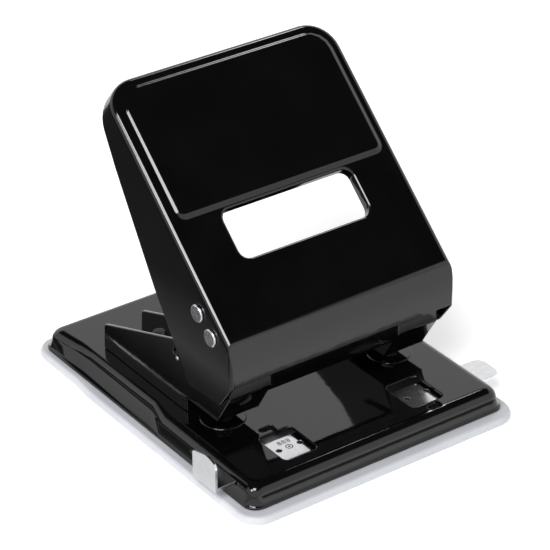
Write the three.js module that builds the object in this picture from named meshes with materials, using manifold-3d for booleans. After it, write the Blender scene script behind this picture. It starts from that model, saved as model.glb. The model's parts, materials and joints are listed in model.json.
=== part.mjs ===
// Desk punch: a pressed steel base on a plastic chip tray, two folded steel
// punching units, a sheet-metal lever handle and a sliding paper guide.
// Millimetres. X runs across the punch, +Y to its rear, +Z up. The origin is on the
// table under the middle of the tray.
import * as THREE from "three";
import { mergeVertices } from "three/addons/utils/BufferGeometryUtils.js";
import Module from "manifold-3d";

const wasm = await Module();
wasm.setup();

// ---------------------------------------------------------------- driving dimensions
const HOLE_SPACING = 80; // between the two punched holes
const PUNCH_X = HOLE_SPACING / 2;
const PUNCH_Y = -24.6;
const PIN_RADIUS = 2.75;
const GAP = 0.3; // between pieces that move on each other
const FIT = 0.1; // between pieces that are fixed to each other
const ROUND = 20; // facets of small turned pieces

// Chip tray
const TRAY_HALF_X = 64.5;
const TRAY_HALF_Y = 77.2;
const TRAY_RIM_Z = 3.7;
const TRAY_WALL_Z = 7.6;
const TRAY_FLOOR = 1.5;
const TUB_HALF_X = 51.5;
const TUB_HALF_Y = 63;
const TRAY_CORNER = 9.5;

// Base plate, a pressed pan open underneath
const BASE_HALF_X = 60.8;
const BASE_HALF_Y = 72.4;
const BASE_BOTTOM_Z = 4;
const BASE_TOP_Z = 13;
const BASE_SHEET = 1.2;
const BASE_CORNER = 5.5;
const BASE_ROLL = 4.5; // radius that turns the top down into the side
const WAIST_FRONT_Y = -5; // the sides draw in between these two places
const WAIST_REAR_Y = 55;
const WAIST_BLEND = 9;
const WINDOW_X = 30.3; // middle of a format window in the base
const WINDOW_Y = -53.2;

// Punching units: a folded channel each side, open above and behind
const UNIT_OUTER_X = 49.2;
const UNIT_INNER_X = 30;
const UNIT_SHEET = 1.6;
const JAW_Z = 19.3; // underside of the upper jaw, above the paper gap
const STOP_Y = -12; // back of the paper gap
const PIN_TIP_Z = 18.3; // cutting edge of a punch pin at rest
const COLLAR_HEIGHT = 0.4;
const COLLAR_RADIUS = 8.9;

// Lever
const PIVOT = { y: -35.7, z: 58.6 };
const PRESS = { y: -27.4, z: 65.1 };
const SHAFT_RADIUS = 3;
const HEAD_RADIUS = 3.6;
const HEAD_THICKNESS = 1;
const HANDLE_HALF_X = 52.5;
const HANDLE_SHEET = 1.5;
const HANDLE_SLOPE = THREE.MathUtils.degToRad(41.9);
const FOLD = { y: -46, z: 60.7 }; // front edge of the sloping top
const HANDLE_LENGTH = 108.6; // along the slope
const HANDLE_ROLL = 2.5; // radius of the long edges and the upper end
const ROLL_STEPS = 5; // facets across that round
const HANDLE_CORNER = 13; // radius of the upper corners
const CORNER_STEPS = 9; // facets round an upper corner
const WINDOW = { from: 27.8, to: 48.2, halfX: 30.2, corner: 4, lip: 4.5 };
const PALM = { from: 51, to: 103.4, halfX: 46.6, lowCorner: 2.5, highCorner: 8, height: 0.9, skirt: 1.2 };

// Paper guide bar
const BAR_HALF_X = 68.6;
const BAR_FRONT_Y = -59.8;
const BAR_REAR_Y = -46.2;
const BAR_TOP_Z = 10.8;
const BAR_SHEET = 1.2;
const BAR_MARK_X = [-29.3, 31.7];
const BAR_MARK_Y = -52.9;
const FLAG = { front: -60.4, rear: -45.8, topFront: 23.2, topRear: 21 };

// ---------------------------------------------------------------- finishes
const finish = (color, roughness, metalness) =>
  new THREE.MeshStandardMaterial({ color, roughness, metalness });
const BLACK_ENAMEL = finish(0x0b0b0c, 0.12, 0.2);
const WHITE_PLASTIC = finish(0xe9ebef, 0.45, 0);
const BRIGHT_STEEL = finish(0xc9cbce, 0.28, 1);
const TOOL_STEEL = finish(0x8f9296, 0.35, 1);
const ZINC_STEEL = finish(0xb4b7ba, 0.4, 1);

// ---------------------------------------------------------------- solids
function solid(geometry) {
  const plain = geometry.index ? geometry.toNonIndexed() : geometry.clone();
  plain.deleteAttribute("normal");
  plain.deleteAttribute("uv");
  const merged = mergeVertices(plain, 1e-4);
  const mesh = new wasm.Mesh({
    numProp: 3,
    vertProperties: merged.attributes.position.array,
    triVerts: new Uint32Array(merged.index.array),
  });
  return new wasm.Manifold(mesh);
}

function geometryOf(body) {
  const mesh = body.getMesh();
  const geometry = new THREE.BufferGeometry();
  const places = new THREE.BufferAttribute(new Float32Array(mesh.vertProperties), 3);
  geometry.setAttribute("position", places);
  geometry.setIndex(new THREE.BufferAttribute(new Uint32Array(mesh.triVerts), 1));
  geometry.computeVertexNormals();
  return geometry;
}

const join = (bodies) => bodies.reduce((whole, body) => whole.add(body));
const cut = (body, tools) => tools.reduce((rest, tool) => rest.subtract(tool), body);

// A box between two corners.
function block(x0, x1, y0, y1, z0, z1) {
  const shape = new THREE.BoxGeometry(x1 - x0, y1 - y0, z1 - z0);
  return solid(shape.translate((x0 + x1) / 2, (y0 + y1) / 2, (z0 + z1) / 2));
}

// A closed outline through points [u, v, radius]; a radius rounds that corner.
function outline(points, steps = 4) {
  const path = new THREE.Shape();
  const count = points.length;
  let started = false;
  const to = (p) => {
    if (started) path.lineTo(p.x, p.y);
    else path.moveTo(p.x, p.y);
    started = true;
  };
  points.forEach(([u, v, radius = 0], i) => {
    const corner = new THREE.Vector2(u, v);
    if (radius === 0) {
      to(corner);
      return;
    }
    const before = new THREE.Vector2(...points[(i + count - 1) % count]).sub(corner).normalize();
    const after = new THREE.Vector2(...points[(i + 1) % count]).sub(corner).normalize();
    const half = Math.acos(THREE.MathUtils.clamp(before.dot(after), -1, 1)) / 2;
    const middle = before.clone().add(after).normalize();
    const centre = corner.clone().addScaledVector(middle, radius / Math.sin(half));
    const reach = radius / Math.tan(half);
    const first = corner.clone().addScaledVector(before, reach).sub(centre);
    const last = corner.clone().addScaledVector(after, reach).sub(centre);
    const sweep = Math.atan2(first.cross(last), first.dot(last));
    for (let step = 0; step <= steps; step += 1) {
      const turned = first.clone().rotateAround(new THREE.Vector2(), (sweep * step) / steps);
      to(turned.add(centre));
    }
  });
  return path;
}

const rectangle = (halfU, halfV, corner) =>
  outline([
    [-halfU, -halfV, corner],
    [halfU, -halfV, corner],
    [halfU, halfV, corner],
    [-halfU, halfV, corner],
  ]);

// An outline drawn in Y and Z, drawn out along X.
function acrossX(path, x0, x1) {
  const geometry = new THREE.ExtrudeGeometry(path, { depth: x1 - x0, bevelEnabled: false });
  const yzToX = new THREE.Matrix4().makeBasis(
    new THREE.Vector3(0, 1, 0),
    new THREE.Vector3(0, 0, 1),
    new THREE.Vector3(1, 0, 0),
  );
  return solid(geometry.applyMatrix4(yzToX).translate(x0, 0, 0));
}

// An outline drawn in X and Y, drawn up along Z.
function upZ(path, z0, z1, x = 0, y = 0) {
  const geometry = new THREE.ExtrudeGeometry(path, { depth: z1 - z0, bevelEnabled: false });
  return solid(geometry.translate(x, y, z0));
}

// A turned piece about Z, from a closed profile of [radius, height].
function turned(profile, segments = ROUND) {
  const points = profile.map(([radius, height]) => new THREE.Vector2(radius, height));
  return solid(new THREE.LatheGeometry(points, segments).rotateX(Math.PI / 2));
}

const rod = (radius, low, high, segments = ROUND) =>
  turned([[0, low], [radius, low], [radius, high], [0, high]], segments);

const tube = (outer, inner, low, high, segments = ROUND) =>
  turned([[inner, low], [outer, low], [outer, high], [inner, high], [inner, low]], segments);

const layAlongX = (body) => body.rotate([0, 90, 0]);
const mirrored = (body, side) => (side < 0 ? body.mirror([1, 0, 0]) : body);

// ---------------------------------------------------------------- pans made of rings
// A ring of points round a rounded rectangle, moved by bend(x, y) -> [x, y].
function ring(halfX, halfY, corner, z, bend) {
  const points = [];
  const sideSteps = 12;
  const cornerSteps = 5;
  const quarter = (cx, cy, from) => {
    for (let step = 0; step <= cornerSteps; step += 1) {
      const angle = from + (Math.PI / 2) * (step / cornerSteps);
      points.push([cx + corner * Math.cos(angle), cy + corner * Math.sin(angle)]);
    }
  };
  const side = (x, y0, y1) => {
    for (let step = 1; step < sideSteps; step += 1) {
      points.push([x, THREE.MathUtils.lerp(y0, y1, step / sideSteps)]);
    }
  };
  quarter(halfX - corner, halfY - corner, 0);
  quarter(corner - halfX, halfY - corner, Math.PI / 2);
  side(-halfX, halfY - corner, corner - halfY);
  quarter(corner - halfX, corner - halfY, Math.PI);
  quarter(halfX - corner, corner - halfY, -Math.PI / 2);
  side(halfX, corner - halfY, halfY - corner);
  return points.map(([x, y]) => [...bend(x, y), z]);
}

// A closed skin through rings from the middle of the top, outwards and round to the
// middle of the underside.
function skin(rings) {
  const count = rings[0].length;
  const places = rings.flat(2);
  const last = rings.length - 1;
  const topCentre = rings.length * count;
  places.push(0, 0, rings[0][0][2], 0, 0, rings[last][0][2]);
  const faces = [];
  for (let i = 0; i < count; i += 1) {
    const next = (i + 1) % count;
    faces.push(topCentre, i, next);
    for (let level = 0; level < last; level += 1) {
      const a = level * count;
      const b = a + count;
      faces.push(a + i, b + i, b + next, a + i, b + next, a + next);
    }
    faces.push(topCentre + 1, last * count + next, last * count + i);
  }
  const geometry = new THREE.BufferGeometry();
  geometry.setAttribute("position", new THREE.Float32BufferAttribute(places, 3));
  geometry.setIndex(faces);
  return solid(geometry);
}

// ---------------------------------------------------------------- chip tray
function chipTray() {
  // the rim is a millimetre narrower behind the thumb tab at the left
  const tab = { y: 44, step: 1.1 };
  const bend = (x, y) => [x < -TUB_HALF_X - 6 && y > tab.y ? x + tab.step : x, y];
  const level = (insetX, insetY, corner, z) =>
    ring(TRAY_HALF_X - insetX, TRAY_HALF_Y - insetY, corner, z, bend);
  const tub = (grow, z) => ring(TUB_HALF_X + grow, TUB_HALF_Y + grow, 6 + grow, z, (x, y) => [x, y]);
  const wall = 1.4;
  return skin([
    tub(0, TRAY_FLOOR),
    tub(0.4, TRAY_WALL_Z),
    tub(wall, TRAY_WALL_Z),
    tub(wall + 0.3, TRAY_RIM_Z),
    level(1.6, 1.6, TRAY_CORNER - 1.6, TRAY_RIM_Z),
    level(0.5, 0.5, TRAY_CORNER - 0.5, TRAY_RIM_Z - 0.8),
    level(0, 0, TRAY_CORNER, 1),
    level(0.6, 0.6, TRAY_CORNER - 0.6, 0),
    level(2.2, 2.2, TRAY_CORNER - 2.2, 0),
    level(2.6, 2.6, TRAY_CORNER - 2.6, 2.2),
    tub(2.6, 2.2),
    tub(2, 0),
  ]);
}

// ---------------------------------------------------------------- base plate
// The side from the flat top down to the cut edge: [height, how far it is set in, how much
// further the waist draws it in]. The top turns down on a radius, and the edge flares out.
const BASE_SIDE = [
  ...[90, 67.5, 45, 22.5, 0].map((degrees, i) => {
    const turn = THREE.MathUtils.degToRad(degrees);
    const rise = BASE_TOP_Z - BASE_ROLL + BASE_ROLL * Math.sin(turn);
    return [rise, 1.5 + BASE_ROLL * (1 - Math.cos(turn)), [1.6, 2, 2.6, 3, 3][i]];
  }),
  [5.6, 0.8, 1],
  [4.9, 0, 0],
  [BASE_BOTTOM_Z, 0, 0],
];
const BASE_INSIDE = [
  [BASE_BOTTOM_Z, BASE_SHEET, 0],
  [6.2, 2.2, 1.6],
  [8.2, 2.8, 3],
  [10.2, 4.1, 2.6],
  [BASE_TOP_Z - BASE_SHEET, 6.8, 1.6],
];

function waist(y) {
  const half = WAIST_BLEND / 2;
  const front = THREE.MathUtils.smoothstep(y, WAIST_FRONT_Y - half, WAIST_FRONT_Y + half);
  const rear = THREE.MathUtils.smoothstep(y, WAIST_REAR_Y - half, WAIST_REAR_Y + half);
  return front * (1 - rear);
}

function baseRing(z, inset, drawIn) {
  const halfX = BASE_HALF_X - inset;
  const halfY = BASE_HALF_Y - inset;
  const corner = Math.max(BASE_CORNER - inset * 0.5, 3);
  const bend = (x, y) => {
    const onSide = Math.abs(x) > halfX - corner;
    return [onSide ? x - Math.sign(x) * drawIn * waist(y) : x, y];
  };
  return ring(halfX, halfY, corner, z, bend);
}

// The cuts of one format window: the window, its latch slot and the neck between them.
// The latch slot is behind the left window and in front of the right one.
function windowCuts(side) {
  const latchX = WINDOW_X * side + (side < 0 ? -1 : 0);
  const latchY = WINDOW_Y - side * 12.6;
  const neckY = WINDOW_Y - side * 10.7;
  const low = BASE_TOP_Z - 3;
  const high = BASE_TOP_Z + 2;
  return [
    upZ(rectangle(7.7, 9.4, 2.5), low, high, side * WINDOW_X, WINDOW_Y),
    upZ(rectangle(3.2, 1.4, 1.3), low, high, latchX, latchY),
    upZ(rectangle(0.9, 2.6, 0.4), low, high, latchX + 2.2, neckY),
  ];
}

const RIVET_PLACES = [[36.2, 2], [42.6, 20], [36.2, 38]];
const RIVET_RADIUS = 1.9;
const RIVET_FACETS = 14;

const rivetHole = (side, [x, y]) =>
  rod(RIVET_RADIUS + 2 * FIT, 9, 22, RIVET_FACETS).translate([side * x, y, 0]);

function basePlate() {
  let body = skin([...BASE_SIDE, ...BASE_INSIDE].map((level) => baseRing(...level)));
  for (const side of [-1, 1]) {
    const collar = rod(COLLAR_RADIUS, BASE_TOP_Z - 0.6, BASE_TOP_Z + COLLAR_HEIGHT, 28);
    body = body.add(collar.translate([side * PUNCH_X, PUNCH_Y, 0]));
    const through = rod(PIN_RADIUS + 0.75, 9, 20).translate([side * PUNCH_X, PUNCH_Y, 0]);
    const rivets = RIVET_PLACES.map((spot) => rivetHole(side, spot));
    // the guide bar runs out through a slot in the side
    const slot = block(
      50,
      BASE_HALF_X + 1,
      BAR_FRONT_Y - 2 * GAP,
      BAR_REAR_Y + 2 * GAP,
      BAR_TOP_Z - BAR_SHEET - GAP,
      BAR_TOP_Z + GAP,
    );
    body = cut(body, [through, mirrored(slot, side), ...rivets, ...windowCuts(side)]);
  }
  return body;
}

// ---------------------------------------------------------------- punching units
const EAR_RADIUS = 6.3;
const BUSH_RADIUS = 3.6;

// The front wall of a unit leans out from the jaw up to a bend, and is upright above it.
const WALL_FOOT_Y = -34.2;
const WALL_BEND = { y: -42.4, z: 33.1 };

// Side plate of a unit: upper jaw in front, foot behind the paper stop, ear at the pivot.
function unitPlate() {
  const ear = [];
  for (let angle = 0; angle <= 180; angle += 20) {
    const turn = THREE.MathUtils.degToRad(angle);
    ear.push([PIVOT.y + EAR_RADIUS * Math.cos(turn), PIVOT.z + EAR_RADIUS * Math.sin(turn)]);
  }
  return outline([
    [WALL_FOOT_Y, JAW_Z, 1],
    [STOP_Y, JAW_Z],
    [STOP_Y, BASE_TOP_Z + FIT],
    [44.3, BASE_TOP_Z + FIT, 0.8],
    [43.7, 24.1, 1.5],
    [-6.5, 42.2, 6],
    [-15, 48.6, 4],
    [PIVOT.y + EAR_RADIUS, 50.4],
    ...ear,
    [WALL_BEND.y, 47.5, 3],
    [WALL_BEND.y, WALL_BEND.z, 2],
  ]);
}

function frontWall(x0, x1, low, high) {
  const lean = (WALL_BEND.y - WALL_FOOT_Y) / (WALL_BEND.z - JAW_Z);
  const front = WALL_FOOT_Y + (low - JAW_Z) * lean;
  return acrossX(
    outline([
      [front, low],
      [front + UNIT_SHEET, low],
      [WALL_BEND.y + UNIT_SHEET, WALL_BEND.z],
      [WALL_BEND.y + UNIT_SHEET, high],
      [WALL_BEND.y, high],
      [WALL_BEND.y, WALL_BEND.z],
    ]),
    x0,
    x1,
  );
}

function punchingUnit(side) {
  const plate = unitPlate();
  const inner = UNIT_INNER_X;
  const outer = UNIT_OUTER_X;
  const between = [inner + 0.4, outer - 0.4];
  const webs = [
    acrossX(plate, outer - UNIT_SHEET, outer),
    acrossX(plate, inner, inner + UNIT_SHEET),
    block(...between, WALL_FOOT_Y + 0.2, STOP_Y, JAW_Z, JAW_Z + UNIT_SHEET),
    block(...between, STOP_Y - UNIT_SHEET, STOP_Y, BASE_TOP_Z + FIT, JAW_Z + UNIT_SHEET),
    block(...between, STOP_Y - UNIT_SHEET, 42, BASE_TOP_Z + FIT, BASE_TOP_Z + FIT + UNIT_SHEET),
    frontWall(...between, JAW_Z, 46.5),
  ];
  const holes = [
    rod(BUSH_RADIUS + FIT, JAW_Z - 1, JAW_Z + 4).translate([PUNCH_X, PUNCH_Y, 0]),
    layAlongX(rod(SHAFT_RADIUS + 2 * FIT, 20, 60)).translate([0, PIVOT.y, PIVOT.z]),
    ...RIVET_PLACES.map((spot) => rivetHole(1, spot)),
    // small inspection slot in the outer plate
    block(outer - 3, outer + 1, -7, -5, 35.6, 38),
  ];
  return mirrored(cut(join(webs), holes), side);
}

// The cross bridge ties the two units together above the paper, with a tab folded back
// along each unit.
function bridge() {
  const low = 29.5;
  const high = 44;
  const reach = UNIT_INNER_X - FIT;
  const tab = outline([
    [-39.4, low],
    [-22, low + 3, 2],
    [-22, 42, 2],
    [WALL_BEND.y + 0.2, high],
    [WALL_BEND.y + 0.2, WALL_BEND.z],
  ]);
  const tabs = [-1, 1].map((side) => mirrored(acrossX(tab, reach - UNIT_SHEET, reach), side));
  return join([frontWall(-reach, reach, low, high), ...tabs]);
}

// ---------------------------------------------------------------- punch set
const PIN_TOP_Z = PRESS.z - 5 - GAP;
const GUIDE_PLATE_Z = 44;
const WASHER_Z = 39;

function punchPin() {
  const tip = PIN_TIP_Z;
  return turned([
    [0, tip + 1.1], // hollow ground cutting face
    [PIN_RADIUS, tip],
    [PIN_RADIUS, WASHER_Z + 1.3],
    [PIN_RADIUS - 0.6, WASHER_Z + 1.3],
    [PIN_RADIUS - 0.6, WASHER_Z + 2.4],
    [PIN_RADIUS, WASHER_Z + 2.4],
    [PIN_RADIUS, PIN_TOP_Z - 3],
    [4.6, PIN_TOP_Z - 3],
    [4.6, PIN_TOP_Z - 0.8],
    [3.8, PIN_TOP_Z],
    [0, PIN_TOP_Z],
  ]);
}

// The lower bush guides the pin through the jaw and centres the return spring.
function guideBush() {
  const bore = PIN_RADIUS + 0.15;
  return turned([
    [bore, JAW_Z + FIT],
    [BUSH_RADIUS, JAW_Z + FIT],
    [BUSH_RADIUS, JAW_Z + 8],
    [bore, JAW_Z + 8],
    [bore, JAW_Z + FIT],
  ]);
}

function guidePlate() {
  const inner = UNIT_INNER_X + UNIT_SHEET + FIT;
  const outer = UNIT_OUTER_X - UNIT_SHEET - FIT;
  const plate = upZ(
    outline([
      [inner, PUNCH_Y - 8, 1],
      [outer, PUNCH_Y - 8, 1],
      [outer, PUNCH_Y + 8, 1],
      [inner, PUNCH_Y + 8, 1],
    ]),
    GUIDE_PLATE_Z,
    GUIDE_PLATE_Z + 2,
  );
  const hole = rod(PIN_RADIUS + 0.2, GUIDE_PLATE_Z - 1, GUIDE_PLATE_Z + 3);
  return plate.subtract(hole.translate([PUNCH_X, PUNCH_Y, 0]));
}

const springWasher = () => tube(5.2, PIN_RADIUS + 0.15, WASHER_Z, WASHER_Z + 1);

// Snap ring in the pin's groove, open at the rear.
function snapRing() {
  const low = WASHER_Z + 1.45;
  const whole = tube(4.4, PIN_RADIUS - 0.45, low, low + 0.8);
  return whole.subtract(block(-1.6, 1.6, 1, 8, low - 1, low + 2));
}

// Compression spring: a coil whose end turns lie flat.
class Coil extends THREE.Curve {
  constructor(radius, turns, low, high) {
    super();
    Object.assign(this, { radius, turns, low, high });
  }

  getPoint(t, target = new THREE.Vector3()) {
    const angle = t * this.turns * 2 * Math.PI;
    const flat = 0.1; // share of the coil that each end turn takes
    const rise = THREE.MathUtils.clamp((t - flat) / (1 - 2 * flat), 0, 1);
    const wire = THREE.MathUtils.lerp(this.low, this.high, rise) + (t - 0.5) * 1.6;
    return target.set(this.radius * Math.cos(angle), this.radius * Math.sin(angle), wire);
  }
}

function returnSpring() {
  const wire = 0.55;
  const low = JAW_Z + UNIT_SHEET + wire + 1.05;
  const high = WASHER_Z - wire - 1.05;
  const coil = new Coil(4.4, 8, low, high);
  const section = new THREE.Shape().absarc(0, 0, wire, 0, 2 * Math.PI);
  return solid(
    new THREE.ExtrudeGeometry(section, { steps: 72, curveSegments: 3, extrudePath: coil }),
  );
}

// Hardened die under the base, with the hole that the pin shears into.
function die() {
  const top = BASE_TOP_Z - BASE_SHEET - FIT;
  return tube(7.5, PIN_RADIUS + 0.12, top - 3, top);
}

// ---------------------------------------------------------------- handle
const slopePoint = (along, depth = 0) => [
  FOLD.y + along * Math.cos(HANDLE_SLOPE) + depth * Math.sin(HANDLE_SLOPE),
  FOLD.z + along * Math.sin(HANDLE_SLOPE) - depth * Math.cos(HANDLE_SLOPE),
];

// A piece drawn in X and along the slope, standing on the sloping top.
function onSlope(path, depthLow, depthHigh) {
  const geometry = new THREE.ExtrudeGeometry(path, {
    depth: depthHigh - depthLow,
    bevelEnabled: false,
  });
  geometry.translate(0, 0, depthLow).rotateX(HANDLE_SLOPE);
  return solid(geometry.translate(0, FOLD.y, FOLD.z));
}

const band = (halfX, from, to, corner) =>
  outline([
    [-halfX, from, corner],
    [halfX, from, corner],
    [halfX, to, corner],
    [-halfX, to, corner],
  ]);

// Plan of the handle's slope, inset all round: straight sides and large upper corners.
const upperEnd = (inset) =>
  outline(
    [
      [-HANDLE_HALF_X + inset, -60],
      [HANDLE_HALF_X - inset, -60],
      [HANDLE_HALF_X - inset, HANDLE_LENGTH - inset, HANDLE_CORNER - inset],
      [-HANDLE_HALF_X + inset, HANDLE_LENGTH - inset, HANDLE_CORNER - inset],
    ],
    CORNER_STEPS,
  );

// The palm panel, pressed up with a sloping skirt all round.
function palmPanel() {
  const layer = (grow, high) =>
    onSlope(
      outline([
        [-PALM.halfX - grow, PALM.from - grow, PALM.lowCorner + grow],
        [PALM.halfX + grow, PALM.from - grow, PALM.lowCorner + grow],
        [PALM.halfX + grow, PALM.to + grow, PALM.highCorner + grow],
        [-PALM.halfX - grow, PALM.to + grow, PALM.highCorner + grow],
      ]),
      -0.5,
      high,
    );
  return wasm.Manifold.hull([layer(PALM.skirt, 0), layer(0, PALM.height)]);
}

function handleCover() {
  const half = HANDLE_HALF_X;
  const t = HANDLE_SHEET;
  const side = outline(
    [
      [...slopePoint(0), 3.2],
      [-48.3, 50.8, 40],
      [-48.6, 42.4],
      [-40.5, 31.3, 3],
      [-19.5, 30.1, 3],
      [-16.2, 36.5, 6],
      [1.6, 61.2, 12],
      [26.3, 101.6, 30],
      [...slopePoint(HANDLE_LENGTH + 1, 7.5), 3],
      [...slopePoint(HANDLE_LENGTH + 1)],
    ],
    5,
  );
  const blank = acrossX(side, -half, half);
  // a flat top whose long edges, upper corners and upper end are rolled over
  const rolled = [];
  for (let step = 0; step <= ROLL_STEPS; step += 1) {
    const turn = (Math.PI / 2) * (step / ROLL_STEPS);
    const inset = HANDLE_ROLL * (1 - Math.cos(turn));
    const drop = HANDLE_ROLL * (1 - Math.sin(turn));
    rolled.push(onSlope(upperEnd(inset), -90, -drop));
  }
  const noseRound = upZ(
    outline([
      [-half, -48.6, 1.9],
      [half, -48.6, 1.9],
      [half, 60],
      [-half, 60],
    ]),
    0,
    150,
  );
  let body = blank.intersect(wasm.Manifold.hull(rolled)).intersect(noseRound);
  // the hollow behind the front band and under the top
  const hollow = acrossX(
    outline([
      [...slopePoint(1.9, t), 2],
      [-48.3 + t, 50.3, 38],
      [-48.6 + t, 42.4],
      [-60, 42.4],
      [-60, 20],
      [80, 20],
      [60, 110],
      [...slopePoint(HANDLE_LENGTH, 12)],
      [...slopePoint(HANDLE_LENGTH, t)],
    ]),
    -half + t,
    half - t,
  );
  const inside = onSlope(upperEnd(t), -90, -t);
  body = body.subtract(hollow.intersect(inside));
  // the palm panel, and the finger window with its turned-in lip
  const lip = onSlope(
    band(WINDOW.halfX + 1.3, WINDOW.from - 1.3, WINDOW.to + 1.3, WINDOW.corner + 1.3),
    -WINDOW.lip,
    0,
  );
  const window = onSlope(band(WINDOW.halfX, WINDOW.from, WINDOW.to, WINDOW.corner), -20, 20);
  body = body.add(palmPanel()).add(lip).subtract(window);
  const pivotHole = layAlongX(rod(SHAFT_RADIUS + 0.25, -60, 60));
  const pressHole = layAlongX(rod(SHAFT_RADIUS + FIT, -60, 60));
  return cut(body, [
    pivotHole.translate([0, PIVOT.y, PIVOT.z]),
    pressHole.translate([0, PRESS.y, PRESS.z]),
  ]);
}

// A shaft right across the handle with a peened head outside each flange.
function headedShaft(place) {
  const seat = HANDLE_HALF_X + 0.15;
  const end = seat + HEAD_THICKNESS;
  const shaft = turned([
    [0, -end],
    [HEAD_RADIUS - 0.4, -end],
    [HEAD_RADIUS, -end + 0.4],
    [HEAD_RADIUS, -seat],
    [SHAFT_RADIUS, -seat],
    [SHAFT_RADIUS, seat],
    [HEAD_RADIUS, seat],
    [HEAD_RADIUS, end - 0.4],
    [HEAD_RADIUS - 0.4, end],
    [0, end],
  ]);
  return layAlongX(shaft).translate([0, place.y, place.z]);
}

// Thrust washer on the pivot between a unit and the handle's flange.
function pivotWasher(side) {
  const low = UNIT_OUTER_X + FIT;
  const high = HANDLE_HALF_X - HANDLE_SHEET - GAP;
  const washer = tube(5.4, SHAFT_RADIUS + 0.15, low, high);
  return mirrored(layAlongX(washer).translate([0, PIVOT.y, PIVOT.z]), side);
}

// Sleeve on the press shaft that bears on a punch pin.
function pressSleeve(side) {
  const sleeve = tube(5, SHAFT_RADIUS + FIT, PUNCH_X - 5.2, PUNCH_X + 5.2);
  return mirrored(layAlongX(sleeve).translate([0, PRESS.y, PRESS.z]), side);
}

// ---------------------------------------------------------------- paper guide
function guideBar() {
  const low = BAR_TOP_Z - BAR_SHEET;
  const strip = upZ(
    outline([
      [-BAR_HALF_X, BAR_FRONT_Y],
      [BAR_HALF_X, BAR_FRONT_Y, 4],
      [BAR_HALF_X, BAR_REAR_Y, 4],
      [-BAR_HALF_X, BAR_REAR_Y],
    ]),
    low,
    BAR_TOP_Z,
  );
  const flag = acrossX(
    outline([
      [FLAG.front, low],
      [FLAG.rear, low],
      [FLAG.rear, FLAG.topRear, 1],
      [FLAG.front + 6, FLAG.topFront, 8],
      [FLAG.front, FLAG.topFront - 0.8, 4],
    ]),
    -BAR_HALF_X,
    -BAR_HALF_X + BAR_SHEET,
  );
  // a pair of holes shows in each format window
  const holes = BAR_MARK_X.flatMap((middle) =>
    [-4.9, 4.9].map((step) =>
      rod(1.2, low - 1, BAR_TOP_Z + 1, 16).translate([middle + step, BAR_MARK_Y, 0]),
    ),
  );
  return cut(join([strip, flag]), holes);
}

// Strap under the base that carries the guide bar near each side.
function guideKeeper(side) {
  const top = BASE_TOP_Z - BASE_SHEET - FIT;
  const under = BAR_TOP_Z - BAR_SHEET - GAP;
  const front = BAR_FRONT_Y - GAP;
  const rear = BAR_REAR_Y + GAP;
  const wall = 1.4;
  const strap = join([
    block(40, 47, front - wall, rear + wall, under - wall, under),
    block(40, 47, front - wall, front, under - 0.1, top),
    block(40, 47, rear, rear + wall, under - 0.1, top),
  ]);
  return mirrored(strap, side);
}

// Leaf that drags on the guide bar so that it stays where it is set.
function dragLeaf() {
  const top = BASE_TOP_Z - BASE_SHEET - FIT;
  const low = BAR_TOP_Z + 0.15;
  return acrossX(
    outline([
      [-46.6, top - 0.3],
      [-46.6, top],
      [-59.4, top],
      [-59.4, top - 0.3],
      [-55, low + 0.3],
      [-53, low],
      [-51, low + 0.3],
    ]),
    -5,
    5,
  );
}

// Rivet that holds a unit down: head on the foot, tail closed under the base.
function footRivet(side, [x, y]) {
  const head = BASE_TOP_Z + UNIT_SHEET + 2 * FIT;
  const tail = BASE_TOP_Z - BASE_SHEET - FIT;
  const rivet = turned(
    [
      [0, tail - 1],
      [3, tail - 1],
      [3, tail],
      [RIVET_RADIUS, tail],
      [RIVET_RADIUS, head],
      [3.2, head],
      [2.4, head + 1.1],
      [0, head + 1.4],
    ],
    RIVET_FACETS,
  );
  return rivet.translate([side * x, y, 0]);
}

// ---------------------------------------------------------------- assembly
const punch = new THREE.Group();

function place(name, body, material) {
  const mesh = new THREE.Mesh(geometryOf(body), material);
  mesh.name = name;
  punch.add(mesh);
}

const atPunch = (body, side) => body.translate([side * PUNCH_X, PUNCH_Y, 0]);

place("chip_tray", chipTray(), WHITE_PLASTIC);
place("base_plate", basePlate(), BLACK_ENAMEL);
place("cross_bridge", bridge(), BLACK_ENAMEL);
place("handle_cover", handleCover(), BLACK_ENAMEL);
place("pivot_shaft", headedShaft(PIVOT), BRIGHT_STEEL);
place("press_shaft", headedShaft(PRESS), BRIGHT_STEEL);
place("paper_guide_bar", guideBar(), BRIGHT_STEEL);
place("guide_drag_leaf", dragLeaf(), ZINC_STEEL);

for (const [label, side] of [["left", -1], ["right", 1]]) {
  place(`${label}_punching_unit`, punchingUnit(side), BLACK_ENAMEL);
  place(`${label}_pin_guide_plate`, mirrored(guidePlate(), side), ZINC_STEEL);
  place(`${label}_guide_bush`, atPunch(guideBush(), side), ZINC_STEEL);
  place(`${label}_punch_pin`, atPunch(punchPin(), side), TOOL_STEEL);
  place(`${label}_spring_washer`, atPunch(springWasher(), side), ZINC_STEEL);
  place(`${label}_snap_ring`, atPunch(snapRing(), side), TOOL_STEEL);
  place(`${label}_return_spring`, atPunch(returnSpring(), side), ZINC_STEEL);
  place(`${label}_die`, atPunch(die(), side), TOOL_STEEL);
  place(`${label}_pivot_washer`, pivotWasher(side), ZINC_STEEL);
  place(`${label}_press_sleeve`, pressSleeve(side), TOOL_STEEL);
  place(`${label}_guide_keeper`, guideKeeper(side), ZINC_STEEL);
  RIVET_PLACES.forEach((spot, index) => {
    place(`${label}_foot_rivet_${index + 1}`, footRivet(side, spot), ZINC_STEEL);
  });
}

export default punch;
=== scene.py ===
import json
import math

import bmesh
import bpy
from mathutils import Matrix, Vector
from mathutils.bvhtree import BVHTree

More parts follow.
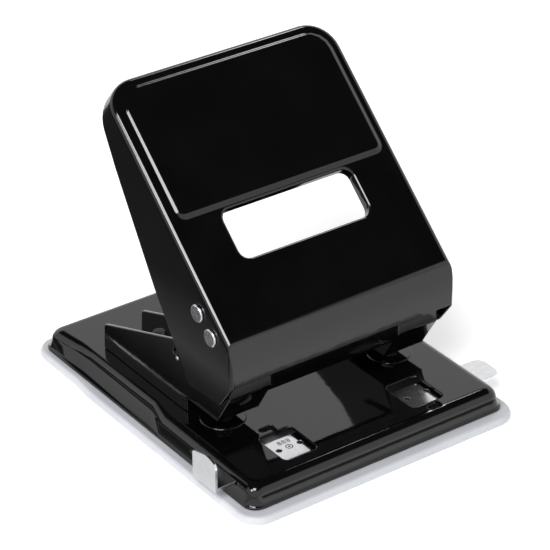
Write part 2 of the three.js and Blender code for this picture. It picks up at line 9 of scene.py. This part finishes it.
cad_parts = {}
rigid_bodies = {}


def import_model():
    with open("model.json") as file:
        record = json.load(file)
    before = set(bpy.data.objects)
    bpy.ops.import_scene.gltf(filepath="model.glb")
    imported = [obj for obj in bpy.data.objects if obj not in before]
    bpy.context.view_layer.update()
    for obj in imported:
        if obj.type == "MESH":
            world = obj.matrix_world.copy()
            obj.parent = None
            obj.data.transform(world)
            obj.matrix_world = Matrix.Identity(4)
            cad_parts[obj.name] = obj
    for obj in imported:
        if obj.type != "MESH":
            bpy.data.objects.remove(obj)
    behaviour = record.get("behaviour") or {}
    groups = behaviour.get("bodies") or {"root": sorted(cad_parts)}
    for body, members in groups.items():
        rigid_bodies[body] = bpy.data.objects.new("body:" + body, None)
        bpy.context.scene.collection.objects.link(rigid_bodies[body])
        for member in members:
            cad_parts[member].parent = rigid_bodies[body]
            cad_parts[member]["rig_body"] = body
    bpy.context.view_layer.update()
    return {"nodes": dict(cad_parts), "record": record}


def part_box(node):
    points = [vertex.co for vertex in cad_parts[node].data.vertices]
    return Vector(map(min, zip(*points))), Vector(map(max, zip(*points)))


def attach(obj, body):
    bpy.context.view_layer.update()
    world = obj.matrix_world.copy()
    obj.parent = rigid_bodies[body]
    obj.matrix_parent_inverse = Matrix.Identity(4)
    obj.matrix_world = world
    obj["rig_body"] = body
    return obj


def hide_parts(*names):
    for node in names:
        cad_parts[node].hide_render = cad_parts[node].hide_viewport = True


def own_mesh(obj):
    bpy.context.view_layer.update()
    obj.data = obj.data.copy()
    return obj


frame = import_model()
MM = 0.001


# ---------------------------------------------------------------- materials
def new_material(name, color, roughness, metallic=0.0, ior=1.5):
    made = bpy.data.materials.new(name)
    made.use_nodes = True
    made.diffuse_color = (*color, 1.0)
    shader = made.node_tree.nodes["Principled BSDF"]
    shader.inputs["Base Color"].default_value = (*color, 1.0)
    shader.inputs["Roughness"].default_value = roughness
    shader.inputs["Metallic"].default_value = metallic
    shader.inputs["IOR"].default_value = ior
    return made, made.node_tree, shader


def noise(tree, scale, detail=3.0, stretch=(1.0, 1.0, 1.0)):
    """Noise fixed to the piece; scale is in features per metre, stretch squeezes each axis."""
    place = tree.nodes.new("ShaderNodeTexCoord")
    fit = tree.nodes.new("ShaderNodeMapping")
    fit.inputs["Scale"].default_value = stretch
    made = tree.nodes.new("ShaderNodeTexNoise")
    made.inputs["Scale"].default_value = scale
    made.inputs["Detail"].default_value = detail
    tree.links.new(place.outputs["Object"], fit.inputs["Vector"])
    tree.links.new(fit.outputs["Vector"], made.inputs["Vector"])
    return made.outputs["Fac"]


def spread(tree, source, low, high, start=0.3, end=0.7):
    """Maps source from start..end to low..high."""
    made = tree.nodes.new("ShaderNodeMapRange")
    made.inputs["From Min"].default_value = start
    made.inputs["From Max"].default_value = end
    made.inputs["To Min"].default_value = low
    made.inputs["To Max"].default_value = high
    tree.links.new(source, made.inputs["Value"])
    return made.outputs["Result"]


def tint(tree, shader, source, dark, light, start=0.3, end=0.7):
    """Colour that wanders between dark and light."""
    made = tree.nodes.new("ShaderNodeValToRGB")
    made.color_ramp.elements[0].position = start
    made.color_ramp.elements[0].color = (*dark, 1.0)
    made.color_ramp.elements[1].position = end
    made.color_ramp.elements[1].color = (*light, 1.0)
    tree.links.new(source, made.inputs["Fac"])
    tree.links.new(made.outputs["Color"], shader.inputs["Base Color"])


def bumped(tree, shader, layers):
    """Bump from several (height source, strength, depth in metres) layers."""
    last = None
    for source, strength, depth in layers:
        made = tree.nodes.new("ShaderNodeBump")
        made.inputs["Strength"].default_value = strength
        made.inputs["Distance"].default_value = depth
        tree.links.new(source, made.inputs["Height"])
        if last:
            tree.links.new(last, made.inputs["Normal"])
        last = made.outputs["Normal"]
    tree.links.new(last, shader.inputs["Normal"])


def black_enamel():
    """Thick stoved enamel: near black, mirror gloss, a faint waviness and a little dust."""
    made, tree, shader = new_material("black_enamel", (0.0016, 0.0016, 0.0018), 0.05, 0.0, 1.5)
    peel = noise(tree, 260.0, 2.0)
    dust = noise(tree, 7000.0, 1.0)
    wear = noise(tree, 60.0, 5.0)
    tint(tree, shader, wear, (0.0012, 0.0012, 0.0014), (0.0022, 0.0022, 0.0025))
    gloss = spread(tree, wear, 0.035, 0.075)
    rough = math_node(tree, "MAXIMUM", gloss, spread(tree, dust, 0.0, 0.18, 0.74, 0.8))
    tree.links.new(rough, shader.inputs["Roughness"])
    bumped(tree, shader, [(peel, 0.05, 0.4 * MM), (dust, 0.015, 0.02 * MM)])
    return made


def white_plastic():
    """Moulded plastic: cool white, satin, with a fine spark-eroded grain."""
    made, tree, shader = new_material("white_plastic", (0.49, 0.5, 0.53), 0.42)
    grain = noise(tree, 4200.0, 2.0)
    flow = noise(tree, 40.0, 3.0)
    tint(tree, shader, flow, (0.475, 0.487, 0.52), (0.51, 0.52, 0.55))
    tree.links.new(spread(tree, grain, 0.36, 0.52), shader.inputs["Roughness"])
    bumped(tree, shader, [(grain, 0.12, 0.03 * MM)])
    shader.inputs["Subsurface Weight"].default_value = 0.04
    shader.inputs["Subsurface Radius"].default_value = (0.002, 0.002, 0.002)
    return made


def math_node(tree, operation, first, second=0.0):
    made = tree.nodes.new("ShaderNodeMath")
    made.operation = operation
    for socket, value in zip(made.inputs, (first, second)):
        if isinstance(value, float):
            socket.default_value = value
        else:
            tree.links.new(value, socket)
    return made.outputs["Value"]


def beyond(tree, reach):
    """One further than reach to the left or right of the middle, nothing nearer."""
    place = tree.nodes.new("ShaderNodeTexCoord")
    split = tree.nodes.new("ShaderNodeSeparateXYZ")
    tree.links.new(place.outputs["Object"], split.inputs["Vector"])
    off = math_node(tree, "ABSOLUTE", split.outputs["X"])
    return math_node(tree, "GREATER_THAN", off, reach)


def steel(name, color, roughness, grain_axis, grain, dents, dented_from=0.0):
    """Drawn or turned steel: fine lines along one axis over dents beyond dented_from."""
    made, tree, shader = new_material(name, color, roughness, 1.0)
    stretch = [1.0, 1.0, 1.0]
    stretch[grain_axis] = 0.04
    lines = noise(tree, 5200.0, 3.0, stretch)
    uneven = noise(tree, 520.0, 3.0)
    dark = tuple(c * 0.92 for c in color)
    tint(tree, shader, uneven, dark, color)
    tree.links.new(spread(tree, lines, roughness * 0.75, roughness * 1.35), shader.inputs["Roughness"])
    height = math_node(tree, "MULTIPLY", uneven, beyond(tree, dented_from))
    bumped(tree, shader, [(height, dents, 0.5 * MM), (lines, grain, 0.02 * MM)])
    return made


HEADS_FROM = 52.6 * MM  # the peened ends of the shafts start here
ACROSS, ALONG, UP = 0, 1, 2
MATERIALS = {
    "black_enamel": black_enamel(),
    "white_plastic": white_plastic(),
    "bright_steel": steel("bright_steel", (0.7, 0.7, 0.72), 0.24, UP, 0.1, 1.0, HEADS_FROM),
    "guide_steel": steel("guide_steel", (0.72, 0.725, 0.74), 0.16, ACROSS, 0.1, 0.008),
    "zinc_steel": steel("zinc_steel", (0.66, 0.67, 0.68), 0.34, ALONG, 0.1, 0.25),
    "tool_steel": steel("tool_steel", (0.5, 0.5, 0.52), 0.26, UP, 0.15, 0.08),
}
SLOTS = {part["node"]: part["material_slot"] for part in frame["record"]["subparts"]}


# ---------------------------------------------------------------- refined pieces
SHARP = math.radians(38)  # edges that turn further than this are broken with a small round
FLAT = math.radians(0.6)  # faces closer to flat than this are one face
SMOOTH = math.radians(52)
SAME_PLACE = 0.002 * MM  # corners closer than this are one corner

# how far the edges of a piece are rounded, in millimetres
EDGE = {
    "chip_tray": 0.35,
    "base_plate": 0.3,
    "handle_cover": 0.35,
    "cross_bridge": 0.3,
    "punching_unit": 0.45,
    "shaft": 0.2,
    "paper_guide_bar": 0.12,
    "foot_rivet": 0.2,
}
USUAL_EDGE = 0.15
WINDOW_ROUND = 1.15 * MM  # the turned-in lip of the handle's finger window
SKIRT_ROUND = 0.62 * MM  # the pressed edges of the handle's palm panel
SKIRT_TURN = math.radians(20), SHARP  # how far those edges turn
FOLD_Y, FOLD_Z = -46.0 * MM, 60.7 * MM  # front edge of the handle's slope
SLOPE = math.radians(41.9)
NEAR = 0.1 * MM  # how close to the slope's surface counts as on it
RIM_HALF_X = 31 * MM  # bounds round the finger window, across and along the slope
RIM_ALONG = 27 * MM, 49 * MM
SKIRT_ALONG = 49 * MM, 106 * MM  # bounds round the palm panel
SKIRT_HEIGHT = 1.0 * MM
SPRING = "return_spring"  # pieces that shorten as their pin goes down


def on_slope(point):
    """How far up the handle's slope a point is, and how far above it."""
    along = (point.y - FOLD_Y) * math.cos(SLOPE) + (point.z - FOLD_Z) * math.sin(SLOPE)
    above = (point.z - FOLD_Z) * math.cos(SLOPE) - (point.y - FOLD_Y) * math.sin(SLOPE)
    return along, above


def on_window_rim(point):
    """True on the upper edge of the handle's finger window."""
    along, above = on_slope(point)
    within = abs(point.x) < RIM_HALF_X and RIM_ALONG[0] < along < RIM_ALONG[1]
    return within and abs(above) < NEAR


def on_palm_skirt(point):
    """True on the upper or lower edge of the palm panel's skirt."""
    along, above = on_slope(point)
    return SKIRT_ALONG[0] < along < SKIRT_ALONG[1] and -NEAR < above < SKIRT_HEIGHT


def round_edges(work, edges, size, segments):
    bmesh.ops.bevel(
        work,
        geom=edges,
        offset=size,
        segments=segments,
        profile=0.5,
        affect="EDGES",
        clamp_overlap=False,
    )


def finish_mesh(piece):
    piece.data.shade_smooth()
    piece.data.set_sharp_from_angle(angle=SMOOTH)
    weighted = piece.modifiers.new("weighted_normals", "WEIGHTED_NORMAL")
    weighted.keep_sharp = True


def add_piece(name, mesh, body, slot):
    piece = bpy.data.objects.new(name, mesh)
    bpy.context.scene.collection.objects.link(piece)
    mesh.materials.clear()
    mesh.materials.append(MATERIALS[slot])
    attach(piece, body)
    return piece


def refine(node):
    """A finer copy of a CAD node: flat faces made whole and edges broken with a round."""
    source = frame["nodes"][node]
    edge = next((size for key, size in EDGE.items() if key in node), USUAL_EDGE) * MM
    work = bmesh.new()
    work.from_mesh(source.data)
    bmesh.ops.remove_doubles(work, verts=work.verts, dist=SAME_PLACE)
    skin = BVHTree.FromBMesh(work)
    bmesh.ops.dissolve_limit(work, angle_limit=FLAT, verts=work.verts, edges=work.edges)
    sharp = [e for e in work.edges if e.is_manifold and e.calc_face_angle() > SHARP]
    rim = []
    if node == "handle_cover":
        rim = [e for e in sharp if all(on_window_rim(v.co) for v in e.verts)]
        sharp = [e for e in sharp if e not in set(rim)]
    round_edges(work, sharp, edge, segments=3)
    # a corner too narrow for the round comes back onto the CAD surface
    for vertex in work.verts:
        place, _, _, gap = skin.find_nearest(vertex.co)
        if gap > edge / 2:
            vertex.co = place
    if rim:
        round_edges(work, rim, WINDOW_ROUND, segments=6)
        skirt = [
            e
            for e in work.edges
            if e.is_manifold
            and SKIRT_TURN[0] < e.calc_face_angle() < SKIRT_TURN[1]
            and all(on_palm_skirt(v.co) for v in e.verts)
        ]
        round_edges(work, skirt, SKIRT_ROUND, segments=4)
    mesh = bpy.data.meshes.new(node + "_finished")
    work.to_mesh(mesh)
    work.free()
    piece = add_piece(node + "_finished", mesh, source["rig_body"], SLOTS[node])
    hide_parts(node)
    finish_mesh(piece)
    return piece


for node, source in sorted(frame["nodes"].items()):
    if SPRING in node:
        coil = add_piece(node + "_finished", source.data.copy(), source["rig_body"], SLOTS[node])
        coil.data.shade_smooth()
        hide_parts(node)
        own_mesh(coil)
    else:
        refine(node)


# ---------------------------------------------------------------- marks on the guide bar
MARK_MIDDLES = (-29.3 * MM, 31.7 * MM)  # the middle of the marks seen in each format window
MARK_Y = -52.7 * MM
NUMERALS_Y = -50.2 * MM
BAR_TOP = 10.8 * MM
INK = 0.02 * MM  # how far the ink stands above the steel
RING_OUTER, RING_INNER, DOT = 1.5 * MM, 1.1 * MM, 0.5 * MM  # radii of the position mark
NUMERAL_SIZE = 3.4 * MM
NUMERAL_SPACING = 1.15


def printing_ink():
    made, tree, shader = new_material("printing_ink", (0.02, 0.02, 0.022), 0.5)
    worn = noise(tree, 2500.0, 3.0)
    tint(tree, shader, worn, (0.012, 0.012, 0.014), (0.05, 0.05, 0.052))
    return made


MATERIALS["ink"] = printing_ink()


def ring_of(work, x, y, z, outer, inner, facets=32):
    """A flat ring, or a disc when inner is nothing."""
    turn = [2 * math.pi * i / facets for i in range(facets)]
    rim = [work.verts.new((x + outer * math.cos(a), y + outer * math.sin(a), z)) for a in turn]
    if not inner:
        work.faces.new(rim)
        return
    bore = [work.verts.new((x + inner * math.cos(a), y + inner * math.sin(a), z)) for a in turn]
    for i in range(facets):
        j = (i + 1) % facets
        work.faces.new((rim[i], rim[j], bore[j], bore[i]))


def guide_marks():
    """Position rings and plain numerals printed on the guide bar."""
    top = BAR_TOP + INK
    work = bmesh.new()
    for middle in MARK_MIDDLES:
        ring_of(work, middle, MARK_Y, top, RING_OUTER, RING_INNER)
        ring_of(work, middle, MARK_Y, top, DOT, 0.0)
        text = bpy.data.curves.new("numerals", "FONT")
        text.body = "888"
        text.size = NUMERAL_SIZE
        text.space_character = NUMERAL_SPACING
        text.align_x = "CENTER"
        holder = bpy.data.objects.new("numerals", text)
        bpy.context.scene.collection.objects.link(holder)
        printed = bpy.data.meshes.new_from_object(holder)
        printed.transform(Matrix.Translation((middle, NUMERALS_Y, top)))
        work.from_mesh(printed)
        bpy.data.objects.remove(holder)
    mesh = bpy.data.meshes.new("guide_marks")
    work.to_mesh(mesh)
    work.free()
    piece = add_piece("guide_marks", mesh, "guide", "guide_steel")
    mesh.materials.clear()
    mesh.materials.append(MATERIALS["ink"])
    return piece


guide_marks()


# ---------------------------------------------------------------- unit studs
STUD_Y, STUD_Z = -7.9 * MM, 34.4 * MM
STUD_RADIUS = 0.85 * MM
STUD_RISE = 0.4 * MM


def unit_stud(label, side):
    """Small domed stud in the outer plate, under the inspection slot."""
    low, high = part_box(f"{label}_punching_unit")
    plate = (low if side < 0 else high).x
    rings, facets = 5, 20
    work = bmesh.new()
    levels = []
    for i in range(rings):
        lift = math.pi / 2 * i / rings
        across = STUD_RADIUS * math.cos(lift)
        out = plate + side * STUD_RISE * math.sin(lift)
        turn = [2 * math.pi * k / facets for k in range(facets)]
        levels.append([
            work.verts.new((out, STUD_Y + across * math.cos(a), STUD_Z + across * math.sin(a)))
            for a in turn
        ])
    for lower, upper in zip(levels, levels[1:]):
        for k in range(facets):
            n = (k + 1) % facets
            work.faces.new((lower[k], lower[n], upper[n], upper[k]))
    work.faces.new(levels[-1])
    bmesh.ops.recalc_face_normals(work, faces=work.faces)
    mesh = bpy.data.meshes.new(f"{label}_unit_stud")
    work.to_mesh(mesh)
    work.free()
    mesh.shade_smooth()
    return add_piece(f"{label}_unit_stud", mesh, "frame", "zinc_steel")


unit_stud("left", -1)
unit_stud("right", 1)


# ---------------------------------------------------------------- stage, light and camera
WHITE = (1.0, 1.0, 1.0)
FLOOR_REACH = 6.0  # metres from the middle to each edge
PAPER_WHITE = (0.93, 0.93, 0.93)
PAPER_GLOW = 0.4
CARD_HEIGHT = 0.0005
SKY_FADE = 0.56, 0.68  # heights, in the sky's Generated coordinate, between which white turns dark
SKY_DARK = (0.03, 0.03, 0.03)
SKY_STRENGTH = 1.12
PUNCH_MIDDLE = (0, 0, 0.05)  # what every softbox is aimed at


def floor():
    work = bmesh.new()
    square = ((-1, -1), (1, -1), (1, 1), (-1, 1))
    work.faces.new([work.verts.new((x * FLOOR_REACH, y * FLOOR_REACH, 0.0)) for x, y in square])
    mesh = bpy.data.meshes.new("floor")
    work.to_mesh(mesh)
    work.free()
    made = bpy.data.objects.new("floor", mesh)
    bpy.context.scene.collection.objects.link(made)
    paper, _, shader = new_material("floor_paper", PAPER_WHITE, 0.9)
    shader.inputs["Emission Color"].default_value = (*WHITE, 1.0)
    shader.inputs["Emission Strength"].default_value = PAPER_GLOW
    shader.inputs["Specular IOR Level"].default_value = 0.0
    mesh.materials.append(paper)


def softbox(name, place, aim, width, height, power):
    lamp = bpy.data.lights.new(name, "AREA")
    lamp.shape = "RECTANGLE"
    lamp.size = width
    lamp.size_y = height
    lamp.energy = power
    made = bpy.data.objects.new(name, lamp)
    bpy.context.scene.collection.objects.link(made)
    made.location = place
    made.rotation_euler = (Vector(aim) - Vector(place)).to_track_quat("-Z", "Y").to_euler()


def painted_reflection_card(name, low, high, axis, stops):
    """Card just above the floor, seen only in gloss, whose shades paint light and shade into the
    reflections of the glossy parts; stops pair a place on the axis with a shade.
    """
    far, near = stops[0][0], stops[-1][0]
    work = bmesh.new()
    corners = [low, (high[0], low[1]), high, (low[0], high[1])]
    work.faces.new([work.verts.new((x, y, CARD_HEIGHT)) for x, y in corners])
    mesh = bpy.data.meshes.new(name)
    work.to_mesh(mesh)
    work.free()
    made = bpy.data.objects.new(name, mesh)
    bpy.context.scene.collection.objects.link(made)
    card, tree, shader = new_material(name, (0.1, 0.1, 0.1), 1.0)
    shader.inputs["Specular IOR Level"].default_value = 0.0
    place = tree.nodes.new("ShaderNodeTexCoord")
    split = tree.nodes.new("ShaderNodeSeparateXYZ")
    ramp = tree.nodes.new("ShaderNodeValToRGB")
    points = ramp.color_ramp.elements
    while len(points) < len(stops):
        points.new(0.5)
    for point, (where, light) in zip(points, stops):
        point.position = (where - far) / (near - far)
        point.color = (light, light, light, 1.0)
    tree.links.new(place.outputs["Object"], split.inputs["Vector"])
    tree.links.new(spread(tree, split.outputs[axis], 0.0, 1.0, far, near), ramp.inputs["Fac"])
    tree.links.new(ramp.outputs["Color"], shader.inputs["Base Color"])
    mesh.materials.append(card)
    made.visible_camera = False
    made.visible_diffuse = False
    made.visible_shadow = False


def studio_sky():
    """White round the horizon like a lit cyclorama, dark overhead."""
    world = bpy.data.worlds.new("studio")
    world.use_nodes = True
    tree = world.node_tree
    back = tree.nodes["Background"]
    place = tree.nodes.new("ShaderNodeTexCoord")
    split = tree.nodes.new("ShaderNodeSeparateXYZ")
    ramp = tree.nodes.new("ShaderNodeValToRGB")
    for point, place_on, shade in zip(ramp.color_ramp.elements, SKY_FADE, (WHITE, SKY_DARK)):
        point.position = place_on
        point.color = (*shade, 1.0)
    tree.links.new(place.outputs["Generated"], split.inputs["Vector"])
    tree.links.new(split.outputs["Z"], ramp.inputs["Fac"])
    tree.links.new(ramp.outputs["Color"], back.inputs["Color"])
    back.inputs["Strength"].default_value = SKY_STRENGTH
    bpy.context.scene.world = world


floor()
studio_sky()
# the three cards below paint reflected shade and light into the enamel and steel beside and in front
# of the punch
painted_reflection_card(
    "side_card",
    (-1.4, -0.012),
    (-0.066, 1.6),
    "X",
    ((-0.16, 0.07), (-0.12, 0.076), (-0.1, 0.24), (-0.093, 0.33), (-0.084, 0.13), (-0.066, 0.01)),
)
painted_reflection_card("flag_card", (-1.4, -0.7), (-0.075, -0.012), "X", ((-0.16, 0.55), (-0.075, 0.85)))
painted_reflection_card(
    "front_card",
    (-0.06, -0.112),
    (0.085, -0.0785),
    "Y",
    ((-0.112, 0.7), (-0.104, 0.15), (-0.096, 0.35), (-0.089, 0.6), (-0.083, 0.25), (-0.0785, 0.12)),
)
softbox("left_key", (-1.25, -0.4, 0.95), PUNCH_MIDDLE, width=0.36, height=0.36, power=8.0)
softbox("high_key", (-0.7, -0.6, 1.13), PUNCH_MIDDLE, width=0.5, height=0.5, power=12.0)
softbox("rear_right", (0.86, 0.65, 1.32), PUNCH_MIDDLE, width=0.26, height=0.26, power=2.6)

# the camera as fitted to the photo
SENSOR_MM, LENS_MM = 36.0, 180.6
CAMERA_PLACE = (-0.54013, -0.74777, 0.59024)
CAMERA_DOWN, CAMERA_TURN = 30.339, -35.958  # degrees below level, and from facing +Y

camera = bpy.data.objects.new("camera", bpy.data.cameras.new("camera"))
bpy.context.scene.collection.objects.link(camera)
camera.data.sensor_width = SENSOR_MM
camera.data.lens = LENS_MM
camera.data.clip_end = 50.0
camera.location = CAMERA_PLACE
camera.rotation_euler = (math.radians(90 - CAMERA_DOWN), 0, math.radians(CAMERA_TURN))
bpy.context.scene.camera = camera
bpy.context.scene.view_settings.view_transform = "Standard"  # keeps the paper white
